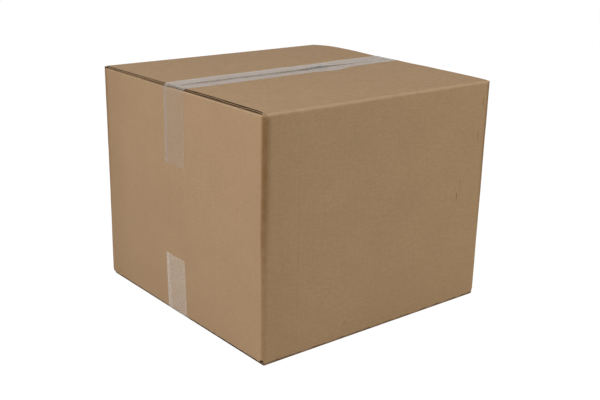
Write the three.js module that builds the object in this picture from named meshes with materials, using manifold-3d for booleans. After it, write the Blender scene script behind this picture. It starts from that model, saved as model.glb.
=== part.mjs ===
// A slotted folding box of corrugated board, folded shut and sealed with two strips of clear tape.
// Units are millimetres. +Z is up, +X runs along the seam between the outer flaps,
// and the origin is the middle of the face that the box stands on.
//
// The carton is one sheet: four panels wrapped into a tube and joined by a glued tab,
// with an inner flap on each end panel and an outer flap on each side panel, above and below.
// The flutes of the board stand upright in the panels and run across the outer flaps to the seam,
// so the seam shows their open ends and the slot cuts show a groove between the two liners.

import * as THREE from "three";
import { mergeGeometries, mergeVertices } from "three/addons/utils/BufferGeometryUtils.js";
import Module from "manifold-3d";

const wasm = await Module();
wasm.setup();

// Driving sizes of the carton, outside faces
const CARTON_LENGTH = 400;
const CARTON_WIDTH = 391;
const CARTON_HEIGHT = 326.4;

// The board
const BOARD = 4;
const LINER = 0.5;
const MEDIUM = 0.5;
const FLUTE_PITCH = 8;
const CREST_WIDTH = 2.24;
const TUNNEL_WALL = 0.75;
const CUT_GROOVE = 2.6;

// Folds, slots and flaps
const INNER_CORNER_RADIUS = 0.5;
const FOLD_RADIUS = 3.5;
const FLAP_PLAY = 0.5;
const INNER_FLAP_PLAY = 0.7;
const SLOT_POST = 2;
const CRUSHED_SCORE = 7;
const PANEL_OVERLAP = 12;
const SEAM_GAP = 2;
const SEAM_SHIFT = 2.5;

// The glued tab of the joint
const TAB_WIDTH = 35;
const TAB_THICKNESS = 3;
const TAB_FOLD_RADIUS = 2;
const TAB_TAPER = 12;
const TAB_END_PLAY = 3;
const JOINT_GAP = 1.5;
const GLUE_BITE = 0.1;

// The tape
const TAPE_WIDTH = 48;
const TAPE_THICKNESS = 0.2;
const ADHESIVE = 0.1;
const TAPE_SHIFT = 6;
const TOP_TAIL_LEFT = 107;
const TOP_TAIL_RIGHT = 98;
const BOTTOM_TAIL_LEFT = 88;
const BOTTOM_TAIL_RIGHT = 94;
const TOOTH_PITCH = 2;
const TOOTH_DEPTH = 1;

// How far a cutting solid reaches past what it cuts, and how close points are that are one
const PAST = 1;
const WELD = 1e-4;

// Facets of the round stretches
const CORNER_STEPS = 6;
const FOLD_STEPS = 5;
const TAPE_STEPS = 3;

// Where the carton lies: the lower tape carries it
const HALF_LENGTH = CARTON_LENGTH / 2;
const HALF_WIDTH = CARTON_WIDTH / 2;
const CARTON_BASE = TAPE_THICKNESS + ADHESIVE;
const CARTON_TOP = CARTON_BASE + CARTON_HEIGHT;

// The upright folds are round outside and nearly sharp inside, and the slots are as wide as they are
const CORNER_RADIUS = BOARD + INNER_CORNER_RADIUS;
const OUTER_FLAP_INSET = CORNER_RADIUS;
const TAB_START = HALF_LENGTH - BOARD - TAB_FOLD_RADIUS;

// The inner flaps lie one board and a little play below the outer ones
const INNER_FLAP_DROP = BOARD + FLAP_PLAY;
const INNER_FOLD_START = INNER_FLAP_DROP + FOLD_RADIUS;
const POST_DROP = INNER_FOLD_START - SLOT_POST;
const FLAP_DEPTH = (CARTON_WIDTH - SEAM_GAP) / 2;

const CARDBOARD = new THREE.MeshStandardMaterial({
  name: "kraft_cardboard",
  color: 0xa98c6c,
  roughness: 0.92,
  metalness: 0,
});
const TAPE = new THREE.MeshStandardMaterial({
  name: "clear_tape",
  color: 0xc9c5bd,
  roughness: 0.25,
  metalness: 0,
  transparent: true,
  opacity: 0.4,
});

// Solids from three.js geometry, and back

function solid(geometry) {
  const bare = geometry.index ? geometry.toNonIndexed() : geometry.clone();
  bare.deleteAttribute("normal");
  bare.deleteAttribute("uv");
  const merged = mergeVertices(bare, WELD);
  return new wasm.Manifold(
    new wasm.Mesh({
      numProp: 3,
      vertProperties: merged.attributes.position.array,
      triVerts: new Uint32Array(merged.index.array),
    }),
  );
}

function meshOf(body, name, material) {
  const made = body.getMesh();
  const positions = new Float32Array(made.numVert * 3);
  for (let i = 0; i < made.numVert; i++) {
    for (let k = 0; k < 3; k++) {
      positions[3 * i + k] = made.vertProperties[made.numProp * i + k];
    }
  }
  const geometry = new THREE.BufferGeometry();
  geometry.setAttribute("position", new THREE.BufferAttribute(positions, 3));
  geometry.setIndex(new THREE.BufferAttribute(new Uint32Array(made.triVerts), 1));
  geometry.computeVertexNormals();
  const mesh = new THREE.Mesh(geometry, material);
  mesh.name = name;
  return mesh;
}

function extrude(shape, depth) {
  return new THREE.ExtrudeGeometry(shape, { depth, bevelEnabled: false, curveSegments: 1 });
}

// A drawing in Y and Z, drawn out along X
function alongX(shape, from, to) {
  const turn = new THREE.Matrix4().set(0, 0, 1, from, 1, 0, 0, 0, 0, 1, 0, 0, 0, 0, 0, 1);
  return solid(extrude(shape, to - from).applyMatrix4(turn));
}

// Stands a drawing up in X and Z, so that its depth runs from the given Y towards smaller ones
function uprightFrom(y) {
  return new THREE.Matrix4().set(1, 0, 0, 0, 0, 0, -1, y, 0, 1, 0, 0, 0, 0, 0, 1);
}

// A drawing in X and Z, drawn out along Y
function alongY(shape, from, to) {
  return solid(extrude(shape, to - from).applyMatrix4(uprightFrom(to)));
}

// A drawing in X and Y, drawn out along Z
function alongZ(shape, from, to) {
  return solid(extrude(shape, to - from).translate(0, 0, from));
}

function block(low, high) {
  const size = high.map((value, i) => value - low[i]);
  const centre = high.map((value, i) => (value + low[i]) / 2);
  return solid(new THREE.BoxGeometry(...size).translate(...centre));
}

// Points of an arc, both ends included; angles in degrees
function arc(x, y, radius, start, end, steps) {
  const points = [];
  for (let i = 0; i <= steps; i++) {
    const angle = THREE.MathUtils.degToRad(start + ((end - start) * i) / steps);
    points.push(new THREE.Vector2(x + radius * Math.cos(angle), y + radius * Math.sin(angle)));
  }
  return points;
}

function point(x, y) {
  return new THREE.Vector2(x, y);
}

// The wrapped panels, seen from above: an open loop of board that starts at the cut edge of the
// right end panel, runs round three folded corners and ends where the back panel turns into the tab.
// inset trims both faces alike, which leaves the core between the liners.
function wrappedPanels(inset) {
  const outerX = HALF_LENGTH - inset;
  const outerY = HALF_WIDTH - inset;
  const innerX = HALF_LENGTH - BOARD + inset;
  const innerY = HALF_WIDTH - BOARD + inset;
  const centreX = HALF_LENGTH - CORNER_RADIUS;
  const centreY = HALF_WIDTH - CORNER_RADIUS;
  const outer = CORNER_RADIUS - inset;
  const inner = CORNER_RADIUS - BOARD + inset;
  const cutY = HALF_WIDTH - JOINT_GAP;
  return new THREE.Shape([
    point(outerX, cutY),
    point(innerX, cutY),
    ...arc(centreX, -centreY, inner, 0, -90, CORNER_STEPS),
    ...arc(-centreX, -centreY, inner, -90, -180, CORNER_STEPS),
    ...arc(-centreX, centreY, inner, 180, 90, CORNER_STEPS),
    point(TAB_START, innerY),
    point(TAB_START, outerY),
    ...arc(-centreX, centreY, outer, 90, 180, CORNER_STEPS),
    ...arc(-centreX, -centreY, outer, -180, -90, CORNER_STEPS),
    ...arc(centreX, -centreY, outer, -90, 0, CORNER_STEPS),
  ]);
}

// The tube of panels between the slots. Its upper and lower cut edges keep a groove between the
// liners, which stays open at the corner posts where no flap is folded over.
function panelTube() {
  const low = CARTON_BASE + POST_DROP;
  const high = CARTON_TOP - POST_DROP;
  const core = wrappedPanels(LINER);
  let tube = alongZ(wrappedPanels(0), low, high);
  tube = tube.subtract(alongZ(core, high - CUT_GROOVE, high + PAST));
  tube = tube.subtract(alongZ(core, low - PAST, low + CUT_GROOVE));

  // Upright groove in the cut edge of the right end panel, beside the glued tab
  const cutY = HALF_WIDTH - JOINT_GAP;
  tube = tube.subtract(
    block(
      [HALF_LENGTH - BOARD + LINER, cutY - CUT_GROOVE, low - PAST],
      [HALF_LENGTH - LINER, cutY + PAST, high + PAST],
    ),
  );

  // The end panels stop where their flaps start to fold
  const post = BOARD + INNER_FLAP_PLAY;
  for (const side of [-1, 1]) {
    for (const [from, to] of [
      [low - PAST, CARTON_BASE + INNER_FOLD_START],
      [CARTON_TOP - INNER_FOLD_START, high + PAST],
    ]) {
      const near = side * (HALF_LENGTH - CORNER_RADIUS);
      const far = side * (HALF_LENGTH + PAST);
      tube = tube.subtract(
        block(
          [Math.min(near, far), -HALF_WIDTH + post, from],
          [Math.max(near, far), HALF_WIDTH - post, to],
        ),
      );
    }
  }
  return tube;
}

// The tab that the back panel turns into: folded at the corner, glued inside the right end panel,
// thinner than the board because it is crushed, and tapered at both ends.
function gluedTab() {
  const face = HALF_LENGTH - BOARD + GLUE_BITE;
  const back = HALF_LENGTH - BOARD - TAB_THICKNESS;
  const foldY = HALF_WIDTH - TAB_FOLD_RADIUS;
  const tabEnd = HALF_WIDTH - TAB_WIDTH;
  const outline = new THREE.Shape([
    point(TAB_START - BOARD, HALF_WIDTH),
    point(TAB_START - BOARD, HALF_WIDTH - BOARD),
    point(back, HALF_WIDTH - BOARD),
    point(back, tabEnd),
    point(face, tabEnd),
    point(face, foldY - JOINT_GAP),
    ...arc(TAB_START, foldY, TAB_FOLD_RADIUS, 0, 90, CORNER_STEPS),
  ]);
  const drop = INNER_FLAP_DROP + BOARD + TAB_END_PLAY;
  const low = CARTON_BASE + drop;
  const high = CARTON_TOP - drop;
  let tab = alongZ(outline, low, high);
  for (const [edge, inward] of [
    [low, 1],
    [high, -1],
  ]) {
    const wedge = new THREE.Shape([
      point(foldY, edge),
      point(tabEnd - PAST, edge + inward * TAB_TAPER),
      point(tabEnd - PAST, edge - inward * PAST),
      point(foldY, edge - inward * PAST),
    ]);
    tab = tab.subtract(alongX(wedge, TAB_START - BOARD, HALF_LENGTH));
  }
  return tab;
}

// Outline of a board folded through a right angle: a stretch of panel, the fold with its round back
// and sharp inside, and the flap. It is drawn with the panel's face at 0 and the flap's face at 0,
// both on the positive side of the board, and grows towards positive numbers.
function foldedBoard(panelReach, flapReach) {
  return [
    point(0, panelReach),
    ...arc(FOLD_RADIUS, FOLD_RADIUS, FOLD_RADIUS, 180, 270, FOLD_STEPS),
    point(flapReach, 0),
    point(flapReach, BOARD),
    point(BOARD, BOARD),
    point(BOARD, panelReach),
  ];
}

// Places a folded outline at one side of the box and at its top or bottom
function placed(points, side, faceAcross, end, faceZ) {
  return new THREE.Shape(
    points.map((p) => point(side * (faceAcross - p.x), faceZ - end * p.y)),
  );
}

// Inner flap, folded in from an end panel
function innerFlap(side, end) {
  const halfSpan = HALF_WIDTH - BOARD - INNER_FLAP_PLAY;
  const face = (end > 0 ? CARTON_TOP : CARTON_BASE) - end * INNER_FLAP_DROP;
  const outline = foldedBoard(FOLD_RADIUS + PANEL_OVERLAP, FLAP_DEPTH);
  return alongY(placed(outline, side, HALF_LENGTH, end, face), -halfSpan, halfSpan);
}

// Height of the middle of the wavy medium above the middle of the board
function wave(x) {
  return (BOARD / 2 - LINER - MEDIUM / 2) * Math.cos((2 * Math.PI * x) / FLUTE_PITCH);
}

// The tunnels on both sides of the medium, drawn out along Y; each fills the room between the medium
// and one liner, and every second one lies against the other liner. A flat stands in for each round
// crest of the medium, and a wall is left between the mouths of neighbouring tunnels.
function fluteTunnels(halfSpan, from, to) {
  const linerFace = BOARD / 2 - LINER;
  const halfMouth = FLUTE_PITCH / 2 - TUNNEL_WALL;
  const halfFloor = CREST_WIDTH / 2;
  const floor = wave(FLUTE_PITCH / 2 - halfFloor) + MEDIUM / 2;
  const room = 2 * (halfSpan - CUT_GROOVE - LINER);
  const count = Math.floor(room / (FLUTE_PITCH / 2)) - 1;
  const tunnels = [];
  for (let i = 0; i < count; i++) {
    const centre = (i - (count - 1) / 2) * (FLUTE_PITCH / 2);
    const facing = i % 2 ? 1 : -1;
    const tunnel = new THREE.Shape([
      point(centre - halfMouth, facing * linerFace),
      point(centre - halfFloor, facing * floor),
      point(centre + halfFloor, facing * floor),
      point(centre + halfMouth, facing * linerFace),
    ]);
    tunnels.push(extrude(tunnel, to - from));
  }
  return solid(mergeGeometries(tunnels).applyMatrix4(uprightFrom(to)));
}

// Outer flap, folded in from a side panel. The score crushes the board near the fold; from there to
// the seam it is fluted, and both slot cuts leave a groove between the liners.
function outerFlap(side, end) {
  const halfSpan = HALF_LENGTH - OUTER_FLAP_INSET;
  const face = end > 0 ? CARTON_TOP : CARTON_BASE;
  const middle = face - (end * BOARD) / 2;
  const reach = FLAP_DEPTH - side * SEAM_SHIFT;
  const scoreEnd = FOLD_RADIUS + CRUSHED_SCORE;
  const outline = foldedBoard(FOLD_RADIUS + INNER_FOLD_START + PANEL_OVERLAP, reach);
  const board = alongX(placed(outline, side, HALF_WIDTH, end, face), -halfSpan, halfSpan);

  const scoreY = side * (HALF_WIDTH - scoreEnd);
  const pastSeamY = side * (HALF_WIDTH - reach - PAST);
  const from = Math.min(scoreY, pastSeamY);
  const to = Math.max(scoreY, pastSeamY);
  const half = BOARD / 2 - LINER;
  const grooves = [-1, 1].map((cut) => {
    const deep = cut * (halfSpan - CUT_GROOVE);
    const past = cut * (halfSpan + PAST);
    return block(
      [Math.min(deep, past), from, middle - half],
      [Math.max(deep, past), to, middle + half],
    );
  });
  const tunnels = fluteTunnels(halfSpan, from, to).translate(0, 0, middle);
  return board.subtract(grooves[0]).subtract(grooves[1]).subtract(tunnels);
}

function carton() {
  let sheet = panelTube().add(gluedTab());
  for (const end of [-1, 1]) {
    for (const side of [-1, 1]) {
      sheet = sheet.add(innerFlap(side, end));
      sheet = sheet.add(outerFlap(side, end));
    }
  }
  return sheet;
}

// One end of a strip's path at the given distance off the board: up the end panel, round its fold,
// straight across to the rim of the outer flap and onto the flap
function tapePath(offset, tail) {
  const foldX = HALF_LENGTH - FOLD_RADIUS;
  const foldZ = -INNER_FLAP_DROP - FOLD_RADIUS;
  const rimX = HALF_LENGTH - OUTER_FLAP_INSET;
  const spanX = rimX - foldX;
  const spanZ = -foldZ;
  const lean = Math.atan2(spanZ, spanX) - Math.acos(FOLD_RADIUS / Math.hypot(spanX, spanZ));
  const leanDegrees = THREE.MathUtils.radToDeg(lean);
  return [
    point(HALF_LENGTH + offset, -tail),
    ...arc(foldX, foldZ, FOLD_RADIUS + offset, 0, leanDegrees, TAPE_STEPS),
    ...arc(rimX, 0, offset, leanDegrees, 90, TAPE_STEPS),
  ];
}

// Saw teeth along a cut end, as the blade of a dispenser leaves them
function teeth(centre, halfWidth, level, outward) {
  const count = Math.round((2 * halfWidth) / TOOTH_PITCH);
  const step = (2 * halfWidth) / count;
  const points = [point(centre - halfWidth - PAST, level + outward)];
  points.push(point(centre - halfWidth - PAST, level));
  for (let i = 0; i < count; i++) {
    const start = centre - halfWidth + i * step;
    points.push(point(start, level));
    points.push(point(start + step / 2, level - outward * TOOTH_DEPTH));
  }
  points.push(point(centre + halfWidth, level));
  points.push(point(centre + halfWidth + PAST, level));
  points.push(point(centre + halfWidth + PAST, level + outward));
  return new THREE.Shape(points);
}

// A strip over the seam at the top or bottom, with a tail down or up each end panel
function tape(end, leftTail, rightTail) {
  const face = end > 0 ? CARTON_TOP : CARTON_BASE;
  const inside = ADHESIVE;
  const outside = ADHESIVE + TAPE_THICKNESS;
  const mirror = (points) => points.map((p) => point(-p.x, p.y));
  const outline = [
    ...tapePath(outside, rightTail),
    ...mirror(tapePath(outside, leftTail)).reverse(),
    ...mirror(tapePath(inside, leftTail)),
    ...tapePath(inside, rightTail).reverse(),
  ];
  const shape = new THREE.Shape(outline.map((p) => point(p.x, face + end * p.y)));
  const halfWidth = TAPE_WIDTH / 2;
  let strip = alongY(shape, TAPE_SHIFT - halfWidth, TAPE_SHIFT + halfWidth);
  for (const [side, tail] of [
    [-1, leftTail],
    [1, rightTail],
  ]) {
    const level = face - end * (tail - TOOTH_DEPTH);
    const cut = teeth(TAPE_SHIFT, halfWidth, level, -end * 2 * TOOTH_DEPTH);
    const near = side * (HALF_LENGTH - PAST);
    const far = side * (HALF_LENGTH + PAST);
    strip = strip.subtract(alongX(cut, Math.min(near, far), Math.max(near, far)));
  }
  return strip;
}

const box = new THREE.Group();
box.add(meshOf(carton(), "carton", CARDBOARD));
box.add(meshOf(tape(1, TOP_TAIL_LEFT, TOP_TAIL_RIGHT), "top_tape", TAPE));
box.add(meshOf(tape(-1, BOTTOM_TAIL_LEFT, BOTTOM_TAIL_RIGHT), "bottom_tape", TAPE));

export default box;
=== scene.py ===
# Looks of a slotted folding box of corrugated board, folded shut and sealed with clear tape.
# Every length is in metres. +X runs along the seam between the outer flaps, and +Z is up.
import math

import bpy
import numpy as np
from mathutils import Matrix, Vector


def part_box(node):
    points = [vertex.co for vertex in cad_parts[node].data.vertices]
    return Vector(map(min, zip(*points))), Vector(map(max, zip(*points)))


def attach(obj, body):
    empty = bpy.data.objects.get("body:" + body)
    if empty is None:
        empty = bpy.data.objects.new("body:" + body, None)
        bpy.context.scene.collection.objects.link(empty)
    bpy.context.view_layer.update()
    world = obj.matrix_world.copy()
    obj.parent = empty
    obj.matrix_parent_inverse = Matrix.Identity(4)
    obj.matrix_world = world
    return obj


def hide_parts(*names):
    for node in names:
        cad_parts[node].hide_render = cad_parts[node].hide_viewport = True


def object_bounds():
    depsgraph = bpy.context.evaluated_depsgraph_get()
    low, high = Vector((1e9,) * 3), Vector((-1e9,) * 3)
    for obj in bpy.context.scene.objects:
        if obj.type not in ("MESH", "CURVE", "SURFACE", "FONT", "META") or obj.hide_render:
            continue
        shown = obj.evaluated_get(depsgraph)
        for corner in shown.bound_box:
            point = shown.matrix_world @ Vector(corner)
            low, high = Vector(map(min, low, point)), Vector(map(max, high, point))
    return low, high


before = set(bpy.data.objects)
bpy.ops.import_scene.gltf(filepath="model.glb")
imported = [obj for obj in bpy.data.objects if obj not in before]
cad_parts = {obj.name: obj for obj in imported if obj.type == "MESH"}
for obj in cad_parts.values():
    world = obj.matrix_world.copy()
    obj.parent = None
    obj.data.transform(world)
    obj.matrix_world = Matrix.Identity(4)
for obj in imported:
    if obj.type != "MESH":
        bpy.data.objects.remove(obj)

MM = 0.001
TINY = 1e-12


def srgb(r, g, b):
    """A colour as the shader takes it, from its screen levels."""
    def linear(c):
        c = c / 255
        return c / 12.92 if c <= 0.04045 else ((c + 0.055) / 1.055) ** 2.4
    return (linear(r), linear(g), linear(b), 1)


# The fixed frame
cad_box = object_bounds()
carton_low, carton_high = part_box("carton")
HALF_LENGTH = carton_high.x
HALF_WIDTH = carton_high.y
BASE = carton_low.z
TOP = carton_high.z
HEIGHT = TOP - BASE

# A pair named ALONG, ACROSS, ENDS, FALL, FADE, RISE or CLEAR gives where a change starts and its span.
# One named PLACE gives a middle and the reach beside it, and one named REACH the reach in X and in Y.

# The board
BOARD = 4 * MM
LINER = 0.45 * MM
MEDIUM = 0.3 * MM
FLUTE_PITCH = 8 * MM
COLUMN_PITCH = FLUTE_PITCH / 2

# Folds, slots and flaps
INNER_RADIUS = 0.5 * MM
CORNER_RADIUS = BOARD + INNER_RADIUS
FOLD_RADIUS = 3.5 * MM
INNER_FOLD_RADIUS = 1.5 * MM
INNER_FLAP_DROP = BOARD + 0.4 * MM
INNER_FLAP_PLAY = 0.2 * MM
INNER_FLAP_END_PLAY = 3 * MM
CREST = 2.5 * MM
FAR_CREST = 1.4 * MM
CREST_FALL = (-10 * MM, 40 * MM)
TOP_POST_DROP = 0.8 * MM
BOTTOM_POST_DROP = 8.2 * MM

# The glued tab
JOINT_GAP = 1.5 * MM
TAB_FOLD_RADIUS = 2 * MM
TAB_INNER_RADIUS = 0.05 * MM
TAB_THICKNESS = 3 * MM
TAB_WIDTH = 35 * MM
TAB_TAPER = 12 * MM
TAB_DROP = INNER_FLAP_DROP + BOARD + 3 * MM
GLUE_GAP = 0.05 * MM

# The blister in the top tape, over the widest part of the seam
BLISTER_X = 50 * MM
BLISTER_HEIGHT = 0.9 * MM
BLISTER_REACH = (18 * MM, 5 * MM)

# The seam. The upper one is wider at some places: the middle, the reach, and how far each flap draws back
SEAM_GAP = 2 * MM
SEAM_SHIFT = 2.5 * MM
SEAM_DRIFT = 3 * MM
SEAM_DRIFT_ALONG = (20 * MM, 90 * MM)
SEAM_UNEVENNESS = 0.2 * MM
WIDER_PLACES = (
    (5 * MM, 65 * MM, 1.4 * MM),
    (BLISTER_X, 18 * MM, 3.4 * MM),
)

# Raw edges: how deep the groove between the liners is, and the torn lip of the medium in it
SLOT_GROOVE = 3.6 * MM
FRAYED_GROOVE = 0.8 * MM
FLAP_END_GROOVE = 9 * MM
CRUSHED_GROOVE = 0.25 * MM
GROOVE_UNEVENNESS = 0.3
LOWER_GROOVE_SHARE = 0.35
CRUSHED_ROWS = 2
LIP_DEPTH = 0.3 * MM
LIP_HEIGHT = 0.9 * MM
LIP_DRIFT = 0.35 * MM
SHARPEST_MITRE = 0.6
RIM_POINTS = 8
SLOT_PALE_STRIPS = (4, 8)
END_PALE_STRIPS = (0, 4, 8)

# The medium at the flaps' cut ends
MEDIUM_INSET = 3.2 * MM
MEDIUM_STEPS = 8
MEDIUM_BEHIND_CUT = 0.15 * MM
MEDIUM_ROOT = 0.3 * MM

# The tapes, with the lengths of their left and right tails, and the line that they follow
FILM = 0.08 * MM
STUCK_GAP = 0.12 * MM
STATION_PITCH = 3 * MM
TAPE_COLUMNS = 48
TOOTH_DEPTH = 0.8 * MM
TOP_TAILS = (107 * MM, 98 * MM)
BOTTOM_TAILS = (88 * MM, 94 * MM)
TAIL_BELOW = -1 * MM
FOLD_ARC_STEPS = 3
FOLD_LIFT = 0.15
BRIDGE_STOPS = (0.35, 0.7)
RIM_ARC_STEPS = 2
RIM_ARC_RADIUS = 0.05 * MM
WRINKLE = 0.03 * MM
WRINKLE_STRETCH = 0.2

# How the tapes stray sideways
TAIL_LEAN = 1.0 * MM
TAIL_LEAN_LENGTH = 50 * MM
TAIL_SHIFT = 1.8 * MM
EDGE_BOW = 7 * MM
EDGE_BOW_PLACE = (8 * MM, 24 * MM)
FAR_SWAY = 4.5 * MM
FAR_SWAY_ALONG = (60 * MM, 70 * MM)
BOTTOM_SWAY = 3 * MM
BOTTOM_SWAY_HEIGHT = 90 * MM

# How hazy the film is: hazier on the flaps, partly as painted sheen, clearer over the seam, and with painted
# shade over the seam's widest part
TOP_TAIL_HAZE = 0.08
BOTTOM_TAIL_HAZE = 0.18
# On the flaps the film is hazier, so whiter: partly painted sheen
FLAP_HAZE_AND_SHEEN = 0.38
HAZE_POWER = 3
CLEAR_SEAM = 0.2
CLEAR_SEAM_MORE = 0.25
CLEAR_SEAM_PLACE = (40 * MM, 40 * MM)
CLEAR_SEAM_WIDTH = 2.6 * MM
CLEAR_SEAM_ENDS = (6 * MM, 16 * MM)
CLEAR_BLISTER = 0.4
# Painted shade on the film over the widest part of the seam
PAINTED_SHADE_STRENGTH = 0.8
PAINTED_SHADE_SHIFT = 1 * MM
PAINTED_SHADE_REACH = (12 * MM, 7 * MM)
PAINTED_SHADE_ALPHA = 0.6

# Haze along the edges: from and to which share of the width, and how much is added at each
FAR_EDGE_HAZE = (0.83, 0.86, 0.0, 0.1)
NEAR_EDGE_HAZE = (0.03, 0.05, 0.08, 0.0)

# How finely the sheet is meshed
CORNER_STEPS = 6
FOLD_STEPS = 6
TAB_STEPS = 8
BLEND_ROWS = 4
BLEND_HEIGHT = 16 * MM
PANEL_ROWS = 36
OUTER_FLAP_ROWS = 32
INNER_FLAP_ROWS = 6
INNER_FLAP_CROWDING = 2
END_ROWS = FOLD_STEPS + OUTER_FLAP_ROWS
SHARP_ANGLE = 35

# What handling did to it
FLAP_LIFT = 3.2 * MM
LIFT_AT_LEFT = 0.2
SPRING_POWER = 0.4
BACK_CURL = 3 * MM
CURL_ALONG = (0.3, 0.7)
CURL_POWER = 1.6
LEFT_END_LIFT = 1.0 * MM
LEFT_END_ALONG = (60 * MM, 140 * MM)
LEFT_END_ACROSS = (24 * MM, 30 * MM)
LEFT_END_EDGE = 12
BACK_STEP = 1.6 * MM
STEP_ACROSS = (-1 * MM, 2 * MM)
STEP_AT_LEFT = 0.4
STEP_LEFT_SPAN = 60 * MM
STEP_FADE = (40 * MM, 130 * MM)
PANEL_BOW = 1.2 * MM
FACE_ZONE = 14 * MM
FACE_TURN = 9 * MM
WOBBLE = 0.22 * MM
CRUMPLE = 0.5 * MM
CRUMPLE_EDGE = 2 * MM
CRUMPLE_HEIGHT = 20 * MM
RIM_FLARE = {"left": 0.2 * MM, "right": 1.2 * MM, "front": 0, "back": 1.9 * MM}

# Unevennesses: each one's wavelength and seed
END_PANEL_WAVES = (110 * MM, 1)
SIDE_PANEL_WAVES = (120 * MM, 2)
SEAM_WAVES = {"front": (160 * MM, 3), "back": (160 * MM, 5)}
FLAP_WAVES = (90 * MM, 4)
GROOVE_WAVES = (21 * MM, 6)
LIP_WAVES = (60 * MM, 7)
BOTTOM_FILM_WAVES = (30 * MM, 8)
TOP_FILM_WAVES = (14 * MM, 9)
CRUMPLE_WAVES = (26 * MM, 11)

# The darker band beside each upright fold is painted shade, partly also the darker crushed liner there. In
# layers:
# the strength at the foot, what it gains going up, the heights over which it gains that, and where across the
# fold it comes in
FOLD_LAYERS = (
    (0.12, 0, (0, 1), (-70 * MM, 60 * MM)),
    (0, 0.42, (0.3, 0.5), (-10 * MM, 6 * MM)),
    (0.35, 0.12, (0, 0.5), (-3.2 * MM, 2.4 * MM)),
    (0, 0.13, (0, 0.6), (-1 * MM, 1.5 * MM)),
)
FOLD_BAND_END = 0.4 * MM
FOLD_BAND_GAIN = 1.1 * MM
FOLD_BAND_RISE = (0, 0.6)
FOLD_BAND_FADE = 1.2 * MM
FOLD_BAND_CLEAR = (1.5 * MM, 3 * MM)
# An offset to the distance below the end panels' crest, for their painted highlight
CREST_HIGHLIGHT_SHIFT = 1.5 * MM

# Colours
KRAFT = srgb(170, 140, 107)
KRAFT_PALE = srgb(182, 151, 119)
KRAFT_DARK = srgb(148, 119, 88)
# Painted shade beside the upright folds, partly the darker crushed liner there
KRAFT_FOLD_SHADE = srgb(126, 94, 58)
# Painted highlight: the pale colour along the folds at the panels' rims
KRAFT_HIGHLIGHT = srgb(196, 168, 136)
# Real stains for the marks, and painted shadow at the foot of the panels
STAIN_AND_FOOT_SHADOW = srgb(96, 70, 46)
# The frayed cut edges: pale fibres mixed with painted shade
RAW_FRAYED = srgb(146, 124, 98)
RAW_SHADED = srgb(66, 51, 36)
# Painted shade inside the open flutes of the cut edges
GROOVE_SHADE_PALE = srgb(98, 79, 58)
GROOVE_SHADE_DARK = srgb(38, 28, 19)
FILM_COLOUR = srgb(206, 195, 185)
FILM_PALE = srgb(238, 226, 210)
# Painted shade: the film's tint over the widest part of the seam
FILM_SHADE = srgb(84, 84, 92)

# Grain of the materials, in repeats over a metre, and how the surfaces shine
CLOUD_SCALE = 18
GRAIN_SCALE = 420
FIBRE_SCALES = (140, 140, 900)
PATCH_SCALE = 90
SPECKLE_SCALE = 700
FILM_CLOUD_SCALE = 60
STREAKS_ACROSS = 26
KRAFT_ROUGHNESS = 0.88
KRAFT_SPECULAR = 0.25
EDGE_ROUGHNESS = 0.95
EDGE_SPECULAR = 0.15
FILM_ROUGHNESS = 0.28
FILM_IOR = 1.5

# Marks on the front panel: the middle in X and Z, half the width and height, and how much each shows
FRONT_MARKS = [
    ((145 * MM, 165 * MM), (1.2 * MM, 8 * MM), 0.7),
    ((-103 * MM, 187 * MM), (1.8 * MM, 1.8 * MM), 0.4),
    ((-62 * MM, 24 * MM), (6 * MM, 3 * MM), 0.2),
    ((150 * MM, 186 * MM), (1.0 * MM, 5 * MM), 0.35),
    ((153 * MM, 174 * MM), (0.9 * MM, 9 * MM), 0.3),
    ((141 * MM, 178 * MM), (1.6 * MM, 1.4 * MM), 0.3),
    ((188 * MM, 297 * MM), (1.3 * MM, 11 * MM), 0.45),
    ((182 * MM, 250 * MM), (1.3 * MM, 9 * MM), 0.4),
    ((-91 * MM, 76 * MM), (1.6 * MM, 1.6 * MM), 0.35),
    ((-145 * MM, 160 * MM), (2.0 * MM, 190 * MM), 0.05),
]
MARK_DEPTH = 12 * MM
MARK_CORE = 0.4

# The camera, solved from the box's corners
CAMERA_PLACE = Vector((-0.8467, -1.0524, 0.5675))
CAMERA_AZIMUTH = math.radians(39.353)
CAMERA_DROP = math.radians(17.756)
CAMERA_ROLL = math.radians(1.295)
CAMERA_LENS = 56.64

# The studio. Each lamp has a place, what it points at, a size, its watts and a colour
WORLD_STRENGTH = 0.5
FLOOR_REACH = 6.0
FLOOR_GREY = (0.86, 0.86, 0.86, 1)
FLOOR_GLOW = 1.1
FLOOR_GLOW_SHARE = 0.86
FLOOR_ROUGHNESS = 0.9
LAMPS = (
    ("left_light", (-1.5, -0.33, 0.8), (0, 0, 0.15), 1.0, 7.3, (1, 0.99, 1)),
    ("right_light", (1.1, -0.8, 0.7), (0, 0, 0.15), 0.8, 4.75, (1, 0.985, 0.74)),
    ("top_light", (-0.6, -0.25, 1.3), (0, 0, 0.3), 0.8, 3.4, (1, 1, 1)),
)


def smooth(t):
    """0 below 0, 1 above 1, and an even turn between them."""
    t = np.clip(t, 0, 1)
    return t * t * (3 - 2 * t)


def rising(value, start, span):
    """0 up to the start and 1 from a span past it."""
    return smooth((value - start) / span)


def hump(value, middle, reach):
    """1 at the middle, falling evenly to 0 on both sides."""
    return math.exp(-(((value - middle) / reach) ** 2))


def ripple(a, b, wavelength, seed):
    """An even, repeatable unevenness over two coordinates, within about -1 to 1."""
    total = 0
    for i in range(5):
        angle = 2.4 * i + 1.7 * seed
        stretch = 0.6 + 0.35 * i
        k = 2 * math.pi * stretch / wavelength
        total = total + np.sin(k * (a * math.cos(angle) + b * math.sin(angle)) + 3.1 * i + seed)
    return total / 3


def seam_at(x):
    """Where the upper seam lies in Y: it drifts a little towards the left side."""
    return SEAM_SHIFT + SEAM_DRIFT * rising(-x, *SEAM_DRIFT_ALONG)


# The sheet is a grid: columns run up the panels and rows run round the box. Every column knows its
# place on the outer and inner face, the way into the box, and whether a flap hangs on it.

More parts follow.
